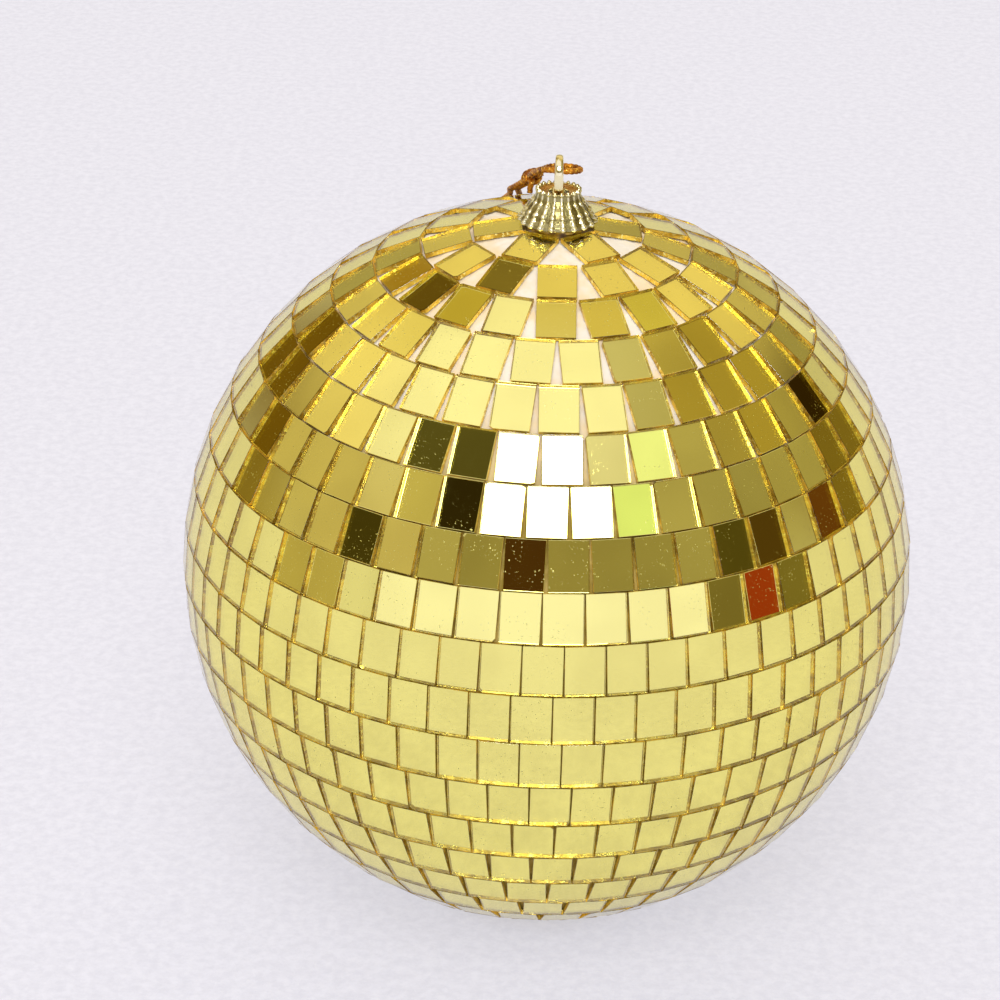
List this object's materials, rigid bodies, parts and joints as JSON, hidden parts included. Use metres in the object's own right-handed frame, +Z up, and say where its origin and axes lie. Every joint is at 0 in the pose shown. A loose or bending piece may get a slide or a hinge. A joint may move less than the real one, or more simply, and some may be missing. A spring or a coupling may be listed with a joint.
{
  "type": "mirror ball",
  "caption": "Foam ball covered in rows of gold mirror tiles, with a beaded crown cap, a swivelling hanging loop and a knotted cord.",
  "frame": {"origin": "the centre of the ball", "axes": "+Z up along the hanging and spin axis through the cap, -Y the front"},
  "size_m": [0.1527, 0.1533, 0.1663],
  "materials": {
    "foam": "white expanded polystyrene with dried adhesive",
    "mirror_tile": "gold-tinted glass mirror with polished amber edges",
    "plated_plastic": "vacuum-plated champagne gold",
    "plug_plastic": "moulded, satin",
    "loop_metal": "polished pale gold",
    "washer_steel": "plain spring steel",
    "cord_yarn": "twisted brown and gold metallic yarn"
  },
  "bodies": {
    "hanger": {"hanging_loop": "loop_metal", "stem_washer": "washer_steel", "hanging_cord": "cord_yarn", "cord_knot": "cord_yarn"},
    "ball": {"foam_core": "foam", "tile_row_01": "mirror_tile", "tile_row_02": "mirror_tile", "tile_row_03": "mirror_tile", "tile_row_04": "mirror_tile", "tile_row_05": "mirror_tile", "tile_row_06": "mirror_tile", "tile_row_07": "mirror_tile", "tile_row_08": "mirror_tile", "tile_row_09": "mirror_tile", "tile_row_10": "mirror_tile", "tile_row_11": "mirror_tile", "tile_row_12": "mirror_tile", "tile_row_13": "mirror_tile", "tile_row_14": "mirror_tile", "tile_row_15": "mirror_tile", "tile_row_16": "mirror_tile", "tile_row_17": "mirror_tile", "tile_row_18": "mirror_tile", "tile_row_19": "mirror_tile", "tile_row_20": "mirror_tile", "tile_row_21": "mirror_tile", "tile_row_22": "mirror_tile", "bottom_tile": "mirror_tile", "crown_cap": "plated_plastic", "cap_plug": "plug_plastic"}
  },
  "joints": [
    {"name": "ball_spin", "type": "hinge", "parent": "hanger", "child": "ball", "pos_m": [0, 0, 0], "axis": [0, 0, 1], "continuous": true}
  ]
}
